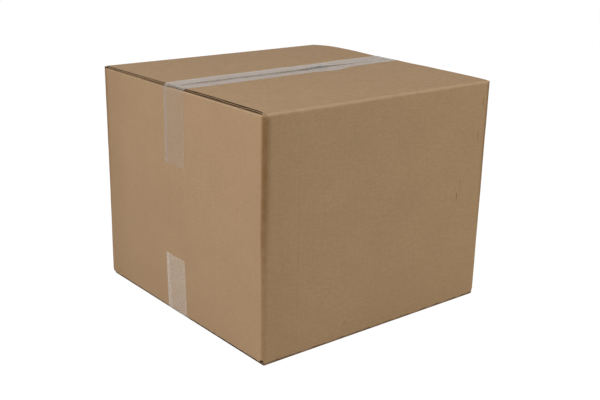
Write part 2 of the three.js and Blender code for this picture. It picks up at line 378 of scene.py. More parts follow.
def panel_columns(name, normal, start, end, half_depth):
    """Columns over one flat panel, from start to end along the way round the box."""
    travel = (normal[1], -normal[0])
    count = max(1, round(abs(end - start) / COLUMN_PITCH))
    stops = list(np.linspace(start, end, count + 1))
    outer_flap = name in ("front", "back")
    if not outer_flap:
        stops = [start, start + INNER_FLAP_PLAY, *stops[1:-1], end - INNER_FLAP_PLAY, end]
    columns = []
    for i, s in enumerate(stops):
        place = np.array([normal[k] * half_depth + travel[k] * s for k in (0, 1)])
        flap = outer_flap or 0 < i < len(stops) - 1
        columns.append({
            "panel": name, "outer": place, "inner": place - np.array(normal) * BOARD,
            "in": -np.array(normal, float), "along": s, "flap": flap,
        })
    return columns


def corner_columns(centre, first_angle, last_angle, outer, inner_centre, inner):
    """Columns round an upright fold, without its two ends."""
    columns = []
    for i in range(1, CORNER_STEPS):
        angle = math.radians(first_angle + (last_angle - first_angle) * i / CORNER_STEPS)
        ray = np.array([math.cos(angle), math.sin(angle)])
        columns.append({
            "panel": "post", "outer": np.array(centre) + outer * ray,
            "inner": np.array(inner_centre) + inner * ray, "in": -ray, "along": 0, "flap": False,
        })
    return columns


def tab_columns():
    """The glued tab, folded in behind the end of the right panel."""
    columns = []
    face = HALF_LENGTH - BOARD
    for i in range(1, TAB_STEPS + 1):
        share = i / TAB_STEPS
        y = HALF_WIDTH - TAB_FOLD_RADIUS - (TAB_WIDTH - TAB_FOLD_RADIUS) * share
        columns.append({
            "panel": "tab", "outer": np.array([face - GLUE_GAP, y]),
            "inner": np.array([face - TAB_THICKNESS, y - BOARD * (1 - share)]),
            "in": np.array([-1.0, 0.0]), "along": share, "flap": False,
        })
    return columns


def all_columns():
    """All columns round the box, from the glued joint at the right back corner to the tab's end."""
    long_half = HALF_LENGTH - CORNER_RADIUS
    wide_half = HALF_WIDTH - CORNER_RADIUS
    tab_start = HALF_LENGTH - BOARD - TAB_FOLD_RADIUS
    columns = panel_columns("right", (1, 0), -(HALF_WIDTH - JOINT_GAP), wide_half, HALF_LENGTH)
    for name, normal, side, spans, angles in [
        ("front", (0, -1), (1, -1), (long_half, long_half, HALF_WIDTH), (0, -90)),
        ("left", (-1, 0), (-1, -1), (wide_half, wide_half, HALF_LENGTH), (-90, -180)),
        ("back", (0, 1), (-1, 1), (long_half, tab_start, HALF_WIDTH), (180, 90)),
    ]:
        centre = (side[0] * long_half, side[1] * wide_half)
        columns += corner_columns(centre, *angles, CORNER_RADIUS, centre, INNER_RADIUS)
        columns += panel_columns(name, normal, -spans[0], spans[1], spans[2])
    fold_centre = (tab_start, HALF_WIDTH - TAB_FOLD_RADIUS)
    inner_corner = (HALF_LENGTH - BOARD - TAB_THICKNESS, HALF_WIDTH - BOARD)
    columns += corner_columns(fold_centre, 90, 0, TAB_FOLD_RADIUS, inner_corner, TAB_INNER_RADIUS)
    columns += tab_columns()
    return columns


def panel_end(column, end):
    """How far from the top or bottom a column's outer and inner face end, where a flap folds or a cut is."""
    if column["panel"] == "tab":
        drop = TAB_DROP + TAB_TAPER * column["along"]
        return drop, drop
    if not column["flap"]:
        post_drop = TOP_POST_DROP if end > 0 else BOTTOM_POST_DROP
        return post_drop, post_drop
    level = flap_level(column) - fold_crest(column, end)
    return level + fold_radius(column), level + BOARD + INNER_RADIUS


def flap_level(column):
    """How far below the box's face a flap lies."""
    return 0 if column["panel"] in ("front", "back") else INNER_FLAP_DROP


def fold_crest(column, end):
    """How far the upper fold of an inner flap stands above the flap itself."""
    if end < 0 or column["panel"] not in ("left", "right"):
        return 0
    return crest_at(column["outer"][1])


def crest_at(y):
    """How high the crest of the end panels' upper folds is at a place in Y: it falls to the back."""
    return CREST + (FAR_CREST - CREST) * float(rising(y, *CREST_FALL))


def fold_radius(column):
    return FOLD_RADIUS if column["panel"] in ("front", "back") else INNER_FOLD_RADIUS


def flap_reach(column, end):
    """How far a flap's cut end lies from the face of its panel."""
    if column["panel"] in ("left", "right"):
        return HALF_WIDTH - INNER_FLAP_END_PLAY
    x = column["outer"][0]
    gap = SEAM_GAP / 2 + SEAM_UNEVENNESS * ripple(x, 0, *SEAM_WAVES[column["panel"]])
    if end > 0:
        for middle, reach, extra in WIDER_PLACES:
            gap += extra * hump(x, middle, reach)
    seam = float(seam_at(x)) if end > 0 else SEAM_SHIFT
    return HALF_WIDTH - gap + (seam if column["panel"] == "front" else -seam)


def flap_rows(column):
    return OUTER_FLAP_ROWS if column["panel"] in ("front", "back") else INNER_FLAP_ROWS


def end_points(column, end):
    """Outer and inner points past the fold at the top (end 1) or bottom (end -1): the fold, then the flap."""
    level = flap_level(column)
    face = (TOP if end > 0 else BASE) - end * level
    radius = fold_radius(column)
    crest = fold_crest(column, end)
    points = []

    def put(outer_depth, outer_drop, inner_depth, inner_drop):
        into = column["in"]
        outer = column["outer"] + into * outer_depth
        inner = column["outer"] + into * inner_depth
        points.append((
            (*outer, face - end * outer_drop),
            (*inner, face - end * inner_drop),
        ))

    for k in range(1, FOLD_STEPS + 1):
        angle = math.radians(90 * k / FOLD_STEPS)
        c, s = math.cos(angle), math.sin(angle)
        inner_centre = BOARD + INNER_RADIUS
        put(
            radius * (1 - c), radius * (1 - s) - crest,
            inner_centre - INNER_RADIUS * c, inner_centre - INNER_RADIUS * s - crest,
        )
    reach = flap_reach(column, end)
    rows = flap_rows(column)
    for k in range(1, rows + 1):
        share = (k / rows) ** (INNER_FLAP_CROWDING if level else 1)
        put(
            radius + (reach - radius) * share, 0,
            BOARD + INNER_RADIUS + (reach - BOARD - INNER_RADIUS) * share, BOARD,
        )
    return points


def column_points(column):
    """All rows of one column from the lower flap's end to the upper one's, with gaps where it has no flap."""
    blank = ((np.nan,) * 3, (np.nan,) * 3)
    below = above = [blank] * END_ROWS
    if column["flap"]:
        below = end_points(column, -1)
        below = (below + [blank] * (END_ROWS - len(below)))[::-1]
        above = end_points(column, 1)
        above = above + [blank] * (END_ROWS - len(above))
    outer_drop, inner_drop = panel_end(column, -1)
    middle = []
    for k in range(BLEND_ROWS):
        t = k / BLEND_ROWS
        middle.append((BASE + outer_drop + (BLEND_HEIGHT - outer_drop) * t,
                       BASE + inner_drop + (BLEND_HEIGHT - inner_drop) * t))
    for k in range(PANEL_ROWS + 1):
        z = BASE + BLEND_HEIGHT + (HEIGHT - 2 * BLEND_HEIGHT) * k / PANEL_ROWS
        middle.append((z, z))
    outer_drop, inner_drop = panel_end(column, 1)
    for k in range(1, BLEND_ROWS + 1):
        t = 1 - k / BLEND_ROWS
        middle.append((TOP - outer_drop - (BLEND_HEIGHT - outer_drop) * t,
                       TOP - inner_drop - (BLEND_HEIGHT - inner_drop) * t))
    upright = [((*column["outer"], a), (*column["inner"], b)) for a, b in middle]
    return below + upright + above


def lift_at(x, y):
    """How far the upper outer flaps stand up: most along the seam and towards the right side, where the back
    one curls up too. The front one lifts at its left end, and the back one stands a step above the seam."""
    towards_seam = 1 - np.abs(y) / HALF_WIDTH
    on_flap = np.clip(towards_seam, 0, 1)
    rise = LIFT_AT_LEFT + (1 - LIFT_AT_LEFT) * smooth((x + HALF_LENGTH) / (2 * HALF_LENGTH))
    spring = FLAP_LIFT * rise * on_flap ** SPRING_POWER
    back_share = np.clip(y / HALF_WIDTH, 0, 1)
    curl = BACK_CURL * rising(x / HALF_LENGTH, *CURL_ALONG) * np.sin(math.pi * back_share ** CURL_POWER)
    left_end = rising(-x, *LEFT_END_ALONG) * rising(-y, *LEFT_END_ACROSS)
    left_end = left_end * np.clip(LEFT_END_EDGE * towards_seam, 0, 1)
    step = rising(y - seam_at(x), *STEP_ACROSS) * on_flap ** 2
    from_left = STEP_AT_LEFT + (1 - STEP_AT_LEFT) * rising(x, -HALF_LENGTH, STEP_LEFT_SPAN)
    step *= from_left * (1 - rising(x, *STEP_FADE))
    return spring + curl + LEFT_END_LIFT * left_end + BACK_STEP * step


def handled(points, lifted):
    """The shape that handling leaves: bowed panels, sprung flaps and folds that aren't quite straight."""
    p = np.array(points, float)
    x, y, z = p[..., 0].copy(), p[..., 1].copy(), p[..., 2].copy()
    up = np.clip((z - BASE) / HEIGHT, 0, 1)
    belly = np.sin(math.pi * up)
    near_x = rising(np.abs(x), HALF_LENGTH - FACE_ZONE, FACE_TURN)
    near_y = rising(np.abs(y), HALF_WIDTH - FACE_ZONE, FACE_TURN)
    bow_x = PANEL_BOW * belly * np.cos(math.pi * np.clip(y / HALF_WIDTH, -1, 1) / 2)
    bow_y = PANEL_BOW * belly * np.cos(math.pi * np.clip(x / HALF_LENGTH, -1, 1) / 2)
    waves_x = WOBBLE * belly * ripple(y, z, *END_PANEL_WAVES)
    waves_y = WOBBLE * belly * ripple(x, z, *SIDE_PANEL_WAVES)
    flare_x = np.where(x < 0, RIM_FLARE["left"], RIM_FLARE["right"]) * up ** 2 * np.abs(x) / HALF_LENGTH
    flare_y = np.where(y < 0, RIM_FLARE["front"], RIM_FLARE["back"]) * up ** 2 * np.abs(y) / HALF_WIDTH
    p[..., 0] += np.sign(x) * (near_x * (bow_x + waves_x) + flare_x)
    p[..., 1] += np.sign(y) * (near_y * (bow_y + waves_y) + flare_y)
    on_flap = np.clip(1 - np.abs(y) / HALF_WIDTH, 0, 1)
    sprung = lift_at(x, y) + WOBBLE * ripple(x, y, *FLAP_WAVES) * on_flap
    at_foot = rising(np.abs(x), HALF_LENGTH - BOARD, CRUMPLE_EDGE) * (1 - rising(z, BASE, CRUMPLE_HEIGHT))
    p[..., 2] += lifted * sprung + at_foot * CRUMPLE * (1 + ripple(y, 0, *CRUMPLE_WAVES))
    return p


def mesh_object(name, vertices, faces, materials, face_slots=None):
    """A smooth-shaded mesh piece with its sharp edges marked."""
    mesh = bpy.data.meshes.new(name)
    mesh.from_pydata([tuple(v) for v in vertices], [], faces)
    for material in materials:
        mesh.materials.append(material)
    if face_slots is not None:
        mesh.polygons.foreach_set("material_index", face_slots)
    mesh.polygons.foreach_set("use_smooth", [True] * len(mesh.polygons))
    mesh.set_sharp_from_angle(angle=math.radians(SHARP_ANGLE))
    mesh.update()
    piece = bpy.data.objects.new(name, mesh)
    bpy.context.scene.collection.objects.link(piece)
    return piece


def point_values(piece, name, values):
    """A number for each vertex, which the material reads by name."""
    attribute = piece.data.attributes.new(name, "FLOAT", "POINT")
    attribute.data.foreach_set("value", np.asarray(values, np.float32))


def developed_widths(columns):
    """Each column's place along the flat sheet, before it was wrapped."""
    widths = [0.0]
    for before, after in zip(columns, columns[1:]):
        middle = [(c["outer"] + c["inner"]) / 2 for c in (before, after)]
        widths.append(widths[-1] + float(np.linalg.norm(middle[1] - middle[0])))
    return widths


def upright_folds(columns):
    """The places along the flat sheet of the four upright folds."""
    widths = developed_widths(columns)
    places = []
    for i, column in enumerate(columns):
        middle_of_fold = column["panel"] == "post" and columns[i - CORNER_STEPS // 2]["panel"] != "post"
        if middle_of_fold and columns[i - CORNER_STEPS // 2 + 1]["panel"] == "post":
            places.append(widths[i])
    return np.array(places)


def rim_section(groove, place):
    """The cut edge from the outer liner to the inner one, as depths below the outer face and behind the cut:
    two grooves with the torn edge of the medium between them. A flap's open end has no such lip."""
    lip = groove if groove == FLAP_END_GROOVE else min(LIP_DEPTH, groove)
    middle = BOARD / 2 + LIP_DRIFT * ripple(place[1], place[0], *LIP_WAVES)
    full = place[1] > 0 or groove == FLAP_END_GROOVE
    below_lip = groove if full else max(lip, groove * LOWER_GROOVE_SHARE)
    upper = middle - LIP_HEIGHT / 2
    lower = middle + LIP_HEIGHT / 2
    return [
        (LINER, 0), (LINER, groove), (upper, groove), (upper, lip),
        (lower, lip), (lower, below_lip), (BOARD - LINER, below_lip), (BOARD - LINER, 0),
    ]


def groove_depth(column, row, rows, place):
    """How deep the board is open at a point of its cut edge."""
    flap_row = min(row, rows - 1 - row)
    if flap_row == 0:
        return FLAP_END_GROOVE
    if column["panel"] in ("tab", "post") or flap_row > OUTER_FLAP_ROWS - CRUSHED_ROWS:
        return CRUSHED_GROOVE
    uneven = 1 + GROOVE_UNEVENNESS * ripple(place[1], place[0], *GROOVE_WAVES)
    if column["panel"] == "back":
        return FRAYED_GROOVE * uneven
    return SLOT_GROOVE * uneven


def pale_strips(column, flap_row):
    """The strips of a cut edge that keep the liner's colour: all of them where the board is crushed. The
    others take the cut edge's painted shade.
    """
    if flap_row == 0:
        return END_PALE_STRIPS
    if column["panel"] == "post":
        return range(RIM_POINTS + 1)
    if column["panel"] == "front" and flap_row > OUTER_FLAP_ROWS - CRUSHED_ROWS:
        return range(RIM_POINTS + 1)
    return SLOT_PALE_STRIPS


def flat_sheet():
    """The folded sheet before handling: its columns, its points, and where each point lies in the grid."""
    columns = all_columns()
    grid = np.array([column_points(c) for c in columns])
    count, rows = grid.shape[:2]
    valid = ~np.isnan(grid[:, :, 0, 0])
    index = -np.ones((count, rows), int)
    index[valid] = np.arange(valid.sum())
    return {
        "columns": columns, "rows": rows, "valid": valid, "index": index,
        "outer": grid[:, :, 0][valid], "inner": grid[:, :, 1][valid],
        "column_of": np.broadcast_to(np.arange(count)[:, None], (count, rows))[valid],
        "row_of": np.broadcast_to(np.arange(rows)[None, :], (count, rows))[valid],
    }


def on_panels(sheet, *names):
    """For each point of the sheet, whether it is on one of the named panels or its flaps."""
    return np.array([c["panel"] in names for c in sheet["columns"]])[sheet["column_of"]]


def lift_shares(sheet):
    """How much each point lifts with the upper outer flaps: the fold takes up the turn."""
    first_lifted = sheet["rows"] - END_ROWS
    turn = smooth((sheet["row_of"] - first_lifted + 1) / FOLD_STEPS)
    return on_panels(sheet, "front", "back") * turn


def sheet_cells(sheet):
    """Which cells between four neighbouring points are board: past a fold, only those inside one flap."""
    valid, rows = sheet["valid"], sheet["rows"]
    cells = valid[:-1, :-1] & valid[1:, :-1] & valid[:-1, 1:] & valid[1:, 1:]
    flap = np.array([c["flap"] for c in sheet["columns"]])
    both_flaps = flap[:-1] & flap[1:]
    outside_flaps = np.zeros(rows - 1, bool)
    outside_flaps[END_ROWS:rows - 1 - END_ROWS] = True
    return cells & (both_flaps[:, None] | outside_flaps[None, :])


def sheet_faces(sheet):
    """The quads of the outer and inner face, and the edges of the sheet's outline."""
    index, total = sheet["index"], len(sheet["outer"])
    faces = []
    edges = {}
    for i, j in zip(*np.nonzero(sheet_cells(sheet))):
        quad = [int(index[i, j]), int(index[i, j + 1]), int(index[i + 1, j + 1]), int(index[i + 1, j])]
        faces.append(quad)
        faces.append([v + total for v in reversed(quad)])
        for a, b in zip(quad, quad[1:] + quad[:1]):
            if edges.pop((b, a), None) is None:
                edges[(a, b)] = True
    return faces, list(edges)


def way_in(previous, here, following, normal):
    """The way into the board from a point of its outline, longer in a corner to keep the cut as deep."""
    inward = np.zeros(3)
    for a, b in ((previous, here), (here, following)):
        side = np.cross(normal, b - a)
        inward += side / (np.linalg.norm(side) + TINY)
    half = max(np.linalg.norm(inward) / 2, SHARPEST_MITRE)
    return inward / (np.linalg.norm(inward) + TINY) / half


def cut_points(sheet, edges):
    """The points across the cut edge at each point of the outline, the outline point that each belongs to,
    and the number of the first one at each outline point."""
    after = {a: b for a, b in edges}
    before = {b: a for a, b in edges}
    outer, inner = sheet["outer"], sheet["inner"]
    points, parents, first = [], [], {}
    for v in after:
        normal = outer[v] - inner[v]
        thickness = np.linalg.norm(normal)
        normal = normal / thickness
        inward = way_in(outer[before[v]], outer[v], outer[after[v]], normal)
        column = sheet["columns"][sheet["column_of"][v]]
        groove = groove_depth(column, sheet["row_of"][v], sheet["rows"], outer[v])
        first[v] = 2 * len(outer) + len(points)
        for level, depth in rim_section(groove, outer[v]):
            points.append(outer[v] - normal * thickness * level / BOARD + inward * depth)
            parents.append(v)
    return np.array(points), parents, first


def cut_faces(sheet, edges, first):
    """The strips across the cut edge along the outline, and the material slot of each: a liner on each side
    and a groove between them."""
    total = len(sheet["outer"])
    faces, slots = [], []
    for a, b in edges:
        ring_a = [a, *range(first[a], first[a] + RIM_POINTS), a + total]
        ring_b = [b, *range(first[b], first[b] + RIM_POINTS), b + total]
        row = sheet["row_of"][a]
        column = sheet["columns"][sheet["column_of"][a]]
        pale = pale_strips(column, min(row, sheet["rows"] - 1 - row))
        for k in range(RIM_POINTS + 1):
            faces.append([ring_b[k], ring_a[k], ring_a[k + 1], ring_b[k + 1]])
            slots.append(0 if k in pale else 1)
    return faces, slots


def band_shade(past_fold, up):
    """How dark the painted shade beside an upright fold is: it stops a little way past the fold."""
    tint = 0
    for foot, gain, heights, across in FOLD_LAYERS:
        tint = tint + (foot + gain * rising(up, *heights)) * rising(past_fold, *across)
    past_band = past_fold - FOLD_BAND_END - FOLD_BAND_GAIN * rising(up, *FOLD_BAND_RISE)
    return tint * (1 - smooth(past_band / FOLD_BAND_FADE))


def board_values(sheet):
    """What the board's material needs to know about each point of the sheet."""
    columns = sheet["columns"]
    y, z = sheet["outer"][:, 1], sheet["outer"][:, 2]
    along = np.array(developed_widths(columns))[sheet["column_of"]]
    has_flap = np.array([c["flap"] for c in columns])[sheet["column_of"]]
    to_end = np.minimum(TOP - z, z - BASE)
    # Distance from the folds at the rims, which get a painted highlight
    to_highlit_fold = np.maximum(to_end, HALF_WIDTH - np.abs(y))
    below_crest = TOP - INNER_FLAP_DROP + CREST - z + CREST_HIGHLIGHT_SHIFT
    to_highlit_fold = np.where(on_panels(sheet, "front", "back"), to_highlit_fold, HALF_WIDTH)
    to_highlit_fold = np.where(on_panels(sheet, "left", "right") & has_flap, below_crest, to_highlit_fold)
    # Painted shade beside the upright folds, partly the darker crushed liner there
    past_fold = along[:, None] - upright_folds(columns)[None, :]
    up = ((z - BASE) / HEIGHT)[:, None]
    tint = band_shade(past_fold, up).max(axis=1) * rising(to_end, *FOLD_BAND_CLEAR)
    frayed = on_panels(sheet, "back", "post").astype(float)
    return {"along_sheet": along, "fold_shade": tint, "to_highlit_fold": to_highlit_fold, "frayed": frayed}


def build_carton(kraft, raw_edge):
    """The whole carton as one closed sheet: an outer and an inner face, joined along the cut edges."""
    sheet = flat_sheet()
    faces, edges = sheet_faces(sheet)
    cuts, parents, first = cut_points(sheet, edges)
    strips, strip_slots = cut_faces(sheet, edges, first)
    slots = [0] * len(faces) + strip_slots
    lifted = lift_shares(sheet)
    shaped = handled(np.concatenate([sheet["outer"], sheet["inner"], cuts]),
                     np.concatenate([lifted, lifted, lifted[parents]]))
    piece = mesh_object("carton_sheet", shaped, faces + strips, [kraft, raw_edge], slots)
    for name, values in board_values(sheet).items():
        point_values(piece, name, np.concatenate([values, values, values[parents]]))
    return piece


def medium_strip(name, members, end, start):
    """One flap end's medium: its points, and its faces counted from the given first point."""
    face_y, into = members[0]["outer"][1], members[0]["in"][1]
    low = min(c["outer"][0] for c in members) + MEDIUM_INSET
    high = max(c["outer"][0] for c in members) - MEDIUM_INSET
    level = (TOP if end > 0 else BASE) - end * BOARD / 2
    amplitude = BOARD / 2 - LINER - MEDIUM / 2
    steps = int((high - low) / (FLUTE_PITCH / MEDIUM_STEPS))
    vertices, faces = [], []
    for i in range(steps + 1):
        x = low + (high - low) * i / steps
        reach = flap_reach({"panel": name, "outer": np.array([x, face_y])}, end)
        wave = amplitude * math.cos(2 * math.pi * x / FLUTE_PITCH)
        for depth in (reach - MEDIUM_BEHIND_CUT, reach - FLAP_END_GROOVE - MEDIUM_ROOT):
            for half in (-MEDIUM / 2, MEDIUM / 2):
                vertices.append((x, face_y + into * depth, level + wave + half))
    for i in range(steps):
        a, b = start + 4 * i, start + 4 * i + 4
        for p, q in ((0, 1), (1, 3), (3, 2), (2, 0)):
            faces.append([a + p, a + q, b + q, b + p])
    faces.append([start + k for k in (0, 2, 3, 1)])
    faces.append([start + 4 * steps + k for k in (0, 1, 3, 2)])
    if into < 0:
        faces = [f[::-1] for f in faces]
    return vertices, faces


def build_medium(raw_edge):
    """The wavy medium between the liners, where it shows at the outer flaps' cut ends along the seam."""
    columns = all_columns()
    vertices, faces, lifts = [], [], []
    for name in ("front", "back"):
        members = [c for c in columns if c["panel"] == name]
        for end in (-1, 1):
            strip, strip_faces = medium_strip(name, members, end, len(vertices))
            vertices += strip
            faces += strip_faces
            lifts += [1 if end > 0 else 0] * len(strip)
    # Its colour is the cut edge's painted shade of the open flutes
    return mesh_object("flute_medium", handled(vertices, np.array(lifts)), faces, [raw_edge])


def tape_side(tail, crest):
    """The right side's part of the tape's line, from the tail's end up over the fold and the flap's end."""
    radius = INNER_FOLD_RADIUS
    fold_x = HALF_LENGTH - radius
    fold_z = crest - INNER_FLAP_DROP - radius
    rim_x = HALF_LENGTH - CORNER_RADIUS
    span = math.hypot(rim_x - fold_x, fold_z)
    lean = math.atan2(-fold_z, rim_x - fold_x) - math.acos(radius / span)
    line = []
    steps = max(2, round((tail - INNER_FLAP_DROP - radius) / STATION_PITCH))
    for i in range(steps):
        line.append((HALF_LENGTH, -tail + (tail + fold_z) * i / steps, 1.0, 0.0, 0.0))
    for i in range(FOLD_ARC_STEPS + 1):
        a = lean * i / FOLD_ARC_STEPS
        line.append((fold_x + radius * math.cos(a), fold_z + radius * math.sin(a),
                     math.cos(a), math.sin(a), FOLD_LIFT * i / FOLD_ARC_STEPS))
    tangent_x = fold_x + radius * math.cos(lean)
    tangent_z = fold_z + radius * math.sin(lean)
    for t in BRIDGE_STOPS:
        line.append((tangent_x + (rim_x - tangent_x) * t, tangent_z * (1 - t),
                     math.cos(lean), math.sin(lean), FOLD_LIFT + (1 - FOLD_LIFT) * t))
    for i in range(RIM_ARC_STEPS + 1):
        a = lean + (math.pi / 2 - lean) * i / RIM_ARC_STEPS
        line.append((rim_x + RIM_ARC_RADIUS * math.cos(a), RIM_ARC_RADIUS * (math.sin(a) - 1),
                     math.cos(a), math.sin(a), 1.0))
    return line


def tape_line(tails, crest):
    """The board's outline in X and Z that the tape follows, with the way out at each point, and how far
    each point lifts with the outer flaps."""
    rim_x = HALF_LENGTH - CORNER_RADIUS
    left, right = [tape_side(tail, crest) for tail in tails]
    line = [(-x, z, -out_x, out_z, lift) for x, z, out_x, out_z, lift in left]
    steps = round(2 * rim_x / STATION_PITCH)
    for i in range(1, steps):
        line.append((-rim_x + 2 * rim_x * i / steps, 0.0, 0.0, 1.0, 1.0))
    return np.array(line + right[::-1])


def strip_faces(stations):
    """The faces of a closed strip of two layers: its two sides, its long edges and its ends."""
    layer = stations * (TAPE_COLUMNS + 1)
    far = TAPE_COLUMNS
    last = stations - 1

    def at(level, i, j):
        return level * layer + i * (TAPE_COLUMNS + 1) + j

    faces = []
    for i in range(last):
        for j in range(far):
            top = [at(1, i, j), at(1, i + 1, j), at(1, i + 1, j + 1), at(1, i, j + 1)]
            faces.append(top)
            faces.append([v - layer for v in reversed(top)])
    for i in range(last):
        faces.append([at(0, i, 0), at(0, i + 1, 0), at(1, i + 1, 0), at(1, i, 0)])
        faces.append([at(1, i, far), at(1, i + 1, far), at(0, i + 1, far), at(0, i, far)])
    for j in range(far):
        faces.append([at(0, 0, j), at(1, 0, j), at(1, 0, j + 1), at(0, 0, j + 1)])
        faces.append([at(1, last, j), at(0, last, j), at(0, last, j + 1), at(1, last, j + 1)])
    return faces


def film_values(x, y, lift, end, tail_haze):
    """How hazy the film is at a place, partly as painted sheen on the flaps, and how strong its painted shade
    is there.
    """
    over_seam = lift * hump(y, seam_at(x), CLEAR_SEAM_WIDTH)
    over_seam *= CLEAR_SEAM + CLEAR_SEAM_MORE * hump(x, *CLEAR_SEAM_PLACE)
    over_seam *= rising(HALF_LENGTH - abs(x), *CLEAR_SEAM_ENDS)
    over_blister = CLEAR_BLISTER * lift * blister(x, y) if end > 0 else 0
    clear = (1 - over_seam) * (1 - over_blister)
    # Hazier, so whiter, on the flaps: partly painted sheen
    haze_and_sheen = (tail_haze + (FLAP_HAZE_AND_SHEEN - tail_haze) * lift ** HAZE_POWER) * clear
    return haze_and_sheen, PAINTED_SHADE_STRENGTH * lift * painted_shade_spot(x, y) if end > 0 else 0


def build_tape(name, node, end, material, tails, tail_haze, sway):
    """One tape as a thin closed strip that lies on the board and hangs down both end panels."""
    low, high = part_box(node)
    face = TOP if end > 0 else BASE
    middle, half = (low.y + high.y) / 2, (high.y - low.y) / 2
    across = [middle + half * (2 * j / TAPE_COLUMNS - 1) for j in range(TAPE_COLUMNS + 1)]
    lines = [tape_line(tails, crest_at(y) if end > 0 else 0) for y in across]
    stations = len(lines[0])
    vertices, lifts, values = [], [], []
    for layer in (0, 1):
        for i in range(stations):
            cut_end = i in (0, stations - 1)
            for j in range(TAPE_COLUMNS + 1):
                x, z, out_x, out_z, lift = lines[j][i]
                share = j / TAPE_COLUMNS
                y = across[j] + sway(x, z, share)
                rise = STUCK_GAP + looseness(x, y, z, end) + layer * FILM
                tooth = TOOTH_DEPTH * (j % 2) if cut_end else 0
                vertices.append((x + out_x * rise, y, face + end * (z + out_z * rise + tooth)))
                lifts.append(lift if end > 0 else 0)
                values.append((share, *film_values(x, y, lift, end, tail_haze)))
    faces = strip_faces(stations)
    if end < 0:
        faces = [f[::-1] for f in faces]
    piece = mesh_object(name, handled(vertices, np.array(lifts, float)), faces, [material])
    for attribute, column in zip(("across", "haze_and_sheen", "shade"), zip(*values)):
        point_values(piece, attribute, column)
    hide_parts(node)
    return piece


def blister(x, y):
    """1 in the middle of the blister over the seam, and 0 away from it."""
    along, across = BLISTER_REACH
    return hump(x, BLISTER_X, along) * hump(y, SEAM_SHIFT, across)


def painted_shade_spot(x, y):
    """How strong the painted shade on the film is where it bridges the widest part of the seam."""
    along, across = PAINTED_SHADE_REACH
    return hump(x, BLISTER_X, along) * hump(y - SEAM_SHIFT, PAINTED_SHADE_SHIFT, across)


def looseness(x, y, z, end):
    """How far a tape stands off its glue: faint wrinkles, and the blister in the upper one."""
    if end < 0:
        return WRINKLE * (1 + ripple(x, y, *BOTTOM_FILM_WAVES))
    wrinkles = WRINKLE * (1 + ripple(x * WRINKLE_STRETCH, y, *TOP_FILM_WAVES))
    return wrinkles + (BLISTER_HEIGHT * blister(x, y) if z > TAIL_BELOW else 0)


def top_sway(x, z, share):
    """The top tape's front edge bows out near the blister, and its tails lean a little."""
    if z < TAIL_BELOW:
        return TAIL_LEAN * (z + TAIL_LEAN_LENGTH) / TAIL_LEAN_LENGTH - TAIL_SHIFT
    bow = -EDGE_BOW * (1 - share) ** 2 * hump(x - BLISTER_X, *EDGE_BOW_PLACE)
    return bow + FAR_SWAY * rising(x, *FAR_SWAY_ALONG)


def bottom_sway(x, z, share):
    """The bottom tape strays forwards, less and less up its tails."""
    return -BOTTOM_SWAY * (1 - min(-z, BOTTOM_SWAY_HEIGHT) / BOTTOM_SWAY_HEIGHT)


# Materials

def add_node(tree, kind, inputs=None, **settings):
    """A new shader node: each input is a plain value or another node's output."""
    made = tree.nodes.new(kind)
    for key, value in settings.items():
        setattr(made, key, value)
    for key, value in (inputs or {}).items():
        if isinstance(value, bpy.types.NodeSocket):
            tree.links.new(value, made.inputs[key])
        else:
            made.inputs[key].default_value = value
    return made


def new_material(name):
    material = bpy.data.materials.new(name)
    material.use_nodes = True
    shader = material.node_tree.nodes["Principled BSDF"]
    return material, material.node_tree, shader


def maths(tree, operation, a, b=0.0):
    return add_node(tree, "ShaderNodeMath", {0: a, 1: b}, operation=operation).outputs[0]


def ramp(tree, value, low, high, to_low=0.0, to_high=1.0):
    """A value carried from one range to another, and held at its ends."""
    made = add_node(tree, "ShaderNodeMapRange", {
        "Value": value, "From Min": low, "From Max": high, "To Min": to_low, "To Max": to_high,
    })
    return made.outputs["Result"]


def noise(tree, vector, scale, detail=3.0, roughness=0.55):
    made = add_node(tree, "ShaderNodeTexNoise", {
        "Vector": vector, "Scale": scale, "Detail": detail, "Roughness": roughness,
    })
    return made.outputs["Fac"]


def stretched(tree, vector, scale):
    return add_node(tree, "ShaderNodeMapping", {"Vector": vector, "Scale": scale}).outputs["Vector"]


def mix_colour(tree, share, a, b):
    """A share of the second colour over the first."""
    made = add_node(tree, "ShaderNodeMix", data_type="RGBA")
    for socket, value in ((0, share), (6, a), (7, b)):
        if isinstance(value, bpy.types.NodeSocket):
            tree.links.new(value, made.inputs[socket])
        else:
            made.inputs[socket].default_value = value
    return made.outputs[2]


def attribute(tree, name):
    """A number that the mesh holds for each point."""
    return add_node(tree, "ShaderNodeAttribute", attribute_name=name).outputs["Fac"]


def place_in_space(tree):
    return add_node(tree, "ShaderNodeNewGeometry").outputs["Position"]


def add_bump(tree, shader, height, strength, distance):
    """Fine relief from a height in the material."""
    bump = add_node(tree, "ShaderNodeBump", {"Height": height, "Strength": strength, "Distance": distance})
    tree.links.new(bump.outputs["Normal"], shader.inputs["Normal"])


def mark(tree, place, middle, half, strength):
    """A soft spot on the front panel, as a share of stain."""
    centre = (-middle[0] / half[0], HALF_WIDTH / MARK_DEPTH, -middle[1] / half[1])
    local = add_node(tree, "ShaderNodeMapping", {
        "Vector": place, "Location": centre, "Scale": (1 / half[0], 1 / MARK_DEPTH, 1 / half[1]),
    })
    distance = add_node(tree, "ShaderNodeVectorMath", {0: local.outputs[0]}, operation="LENGTH")
    return ramp(tree, distance.outputs["Value"], MARK_CORE, 1.0, strength, 0.0)


def liner_colour(tree, cloud, grain, fibre, flute):
    """Clean kraft liner: soft clouds, pale grains, dark fibres and faint washboard lines."""
    colour = mix_colour(tree, ramp(tree, cloud, 0.35, 0.65, 0.05, 0.25), KRAFT, KRAFT_DARK)
    colour = mix_colour(tree, ramp(tree, grain, 0.35, 0.7, 0.0, 0.5), colour, KRAFT_PALE)
    colour = mix_colour(tree, ramp(tree, fibre, 0.4, 0.7, 0.0, 0.45), colour, KRAFT_DARK)
    return mix_colour(tree, ramp(tree, flute, -1, 1, 0.0, 0.06), colour, KRAFT_DARK)


